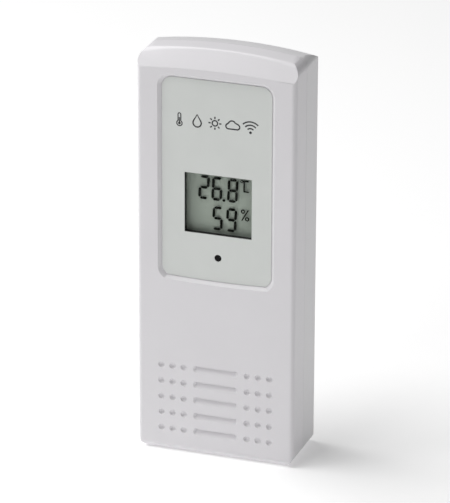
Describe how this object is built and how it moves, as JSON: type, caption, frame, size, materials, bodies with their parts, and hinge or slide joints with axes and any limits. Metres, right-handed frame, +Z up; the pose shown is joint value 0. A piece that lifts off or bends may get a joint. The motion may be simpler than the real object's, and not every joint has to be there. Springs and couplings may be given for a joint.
{
  "type": "wireless thermo-hygrometer sensor",
  "caption": "Slim upright wireless temperature and humidity sensor with a display, two-cell battery bay, fold-out foot and hang hole.",
  "frame": {"origin": "on the standing surface, under the middle of the case's width and depth", "axes": "+Z up, -Y out of the front face, +X to the right seen from the front"},
  "size_m": [0.0502, 0.022, 0.1308],
  "materials": {
    "case_white": "fine matte texture",
    "case_back_white": "fine matte texture",
    "label_grey": "smooth printed film",
    "clear_window": "clear and glossy",
    "black_rubber": "matte",
    "natural_plastic": "satin",
    "display_glass": "clear and glossy",
    "display_ink": "flat black",
    "display_back": "grey green satin",
    "strip_rubber": "striped elastomer",
    "board_green": "solder mask",
    "epoxy_black": "glossy epoxy",
    "tin": "bright tin",
    "part_black": "matte moulding",
    "part_tan": "ceramic",
    "lamp_yellow": "clear resin over phosphor",
    "smoked_plastic": "smoked and glossy",
    "radio_blue": "solder mask",
    "gilt": "gold flash",
    "copper": "enamelled copper",
    "sensor_blue": "moulded",
    "thermistor_brown": "dipped epoxy",
    "switch_steel": "stamped",
    "knob_white": "satin",
    "key_grey": "satin",
    "cell_sleeve": "shrunk sleeve",
    "contact_steel": "nickel plate",
    "spring_steel": "nickel plate",
    "screw_steel": "zinc plate"
  },
  "bodies": {
    "case": {"front_cover": "case_white", "rear_cover": "case_back_white", "label_film": "label_grey", "display_window": "clear_window", "window_gasket": "black_rubber", "display_holder": "natural_plastic", "display_front_glass": "display_glass", "display_digits": "display_ink", "display_rear_glass": "display_glass", "display_reflector": "display_back", "contact_strip": "strip_rubber", "circuit_board": "board_green", "display_chip": "epoxy_black", "clock_crystal": "tin", "resistors": "part_black", "capacitors": "part_tan", "status_lamp": "lamp_yellow", "light_pipe": "smoked_plastic", "radio_board": "radio_blue", "radio_pins": "gilt", "radio_chip": "part_black", "radio_crystal": "tin", "antenna": "copper", "humidity_sensor": "sensor_blue", "humidity_leads": "tin", "thermistor": "thermistor_brown", "thermistor_leads": "tin", "channel_switch": "switch_steel", "reset_switch": "part_black", "unit_switch": "part_black", "battery_left": "cell_sleeve", "battery_right": "cell_sleeve", "bridge_contact": "contact_steel", "positive_contact": "contact_steel", "negative_contact": "contact_steel", "spring_left": "spring_steel", "spring_right": "spring_steel", "case_screws": "screw_steel", "board_screws": "screw_steel"},
    "door": {"battery_door": "case_back_white"},
    "foot": {"foot": "case_back_white"},
    "channel_slider": {"channel_knob": "knob_white"},
    "reset_key": {"reset_button": "key_grey"},
    "unit_key": {"unit_button": "key_grey"}
  },
  "joints": [
    {"name": "door_hinge", "type": "hinge", "parent": "case", "child": "door", "pos_m": [0, 0.01005, 0.03875], "axis": [-1, 0, 0], "range_deg": [0, 80]},
    {"name": "foot_hinge", "type": "hinge", "parent": "case", "child": "foot", "pos_m": [0, 0.0087, 0.0023], "axis": [-1, 0, 0], "range_deg": [0, 90]},
    {"name": "channel_slide", "type": "slide", "parent": "case", "child": "channel_slider", "axis": [1, 0, 0], "range_m": [-0.002, 0.002]},
    {"name": "reset_press", "type": "slide", "parent": "case", "child": "reset_key", "axis": [0, -1, 0], "range_m": [0, 0.0004], "stiffness_N_per_m": 2000},
    {"name": "unit_press", "type": "slide", "parent": "case", "child": "unit_key", "axis": [0, -1, 0], "range_m": [0, 0.0004], "stiffness_N_per_m": 2000}
  ]
}
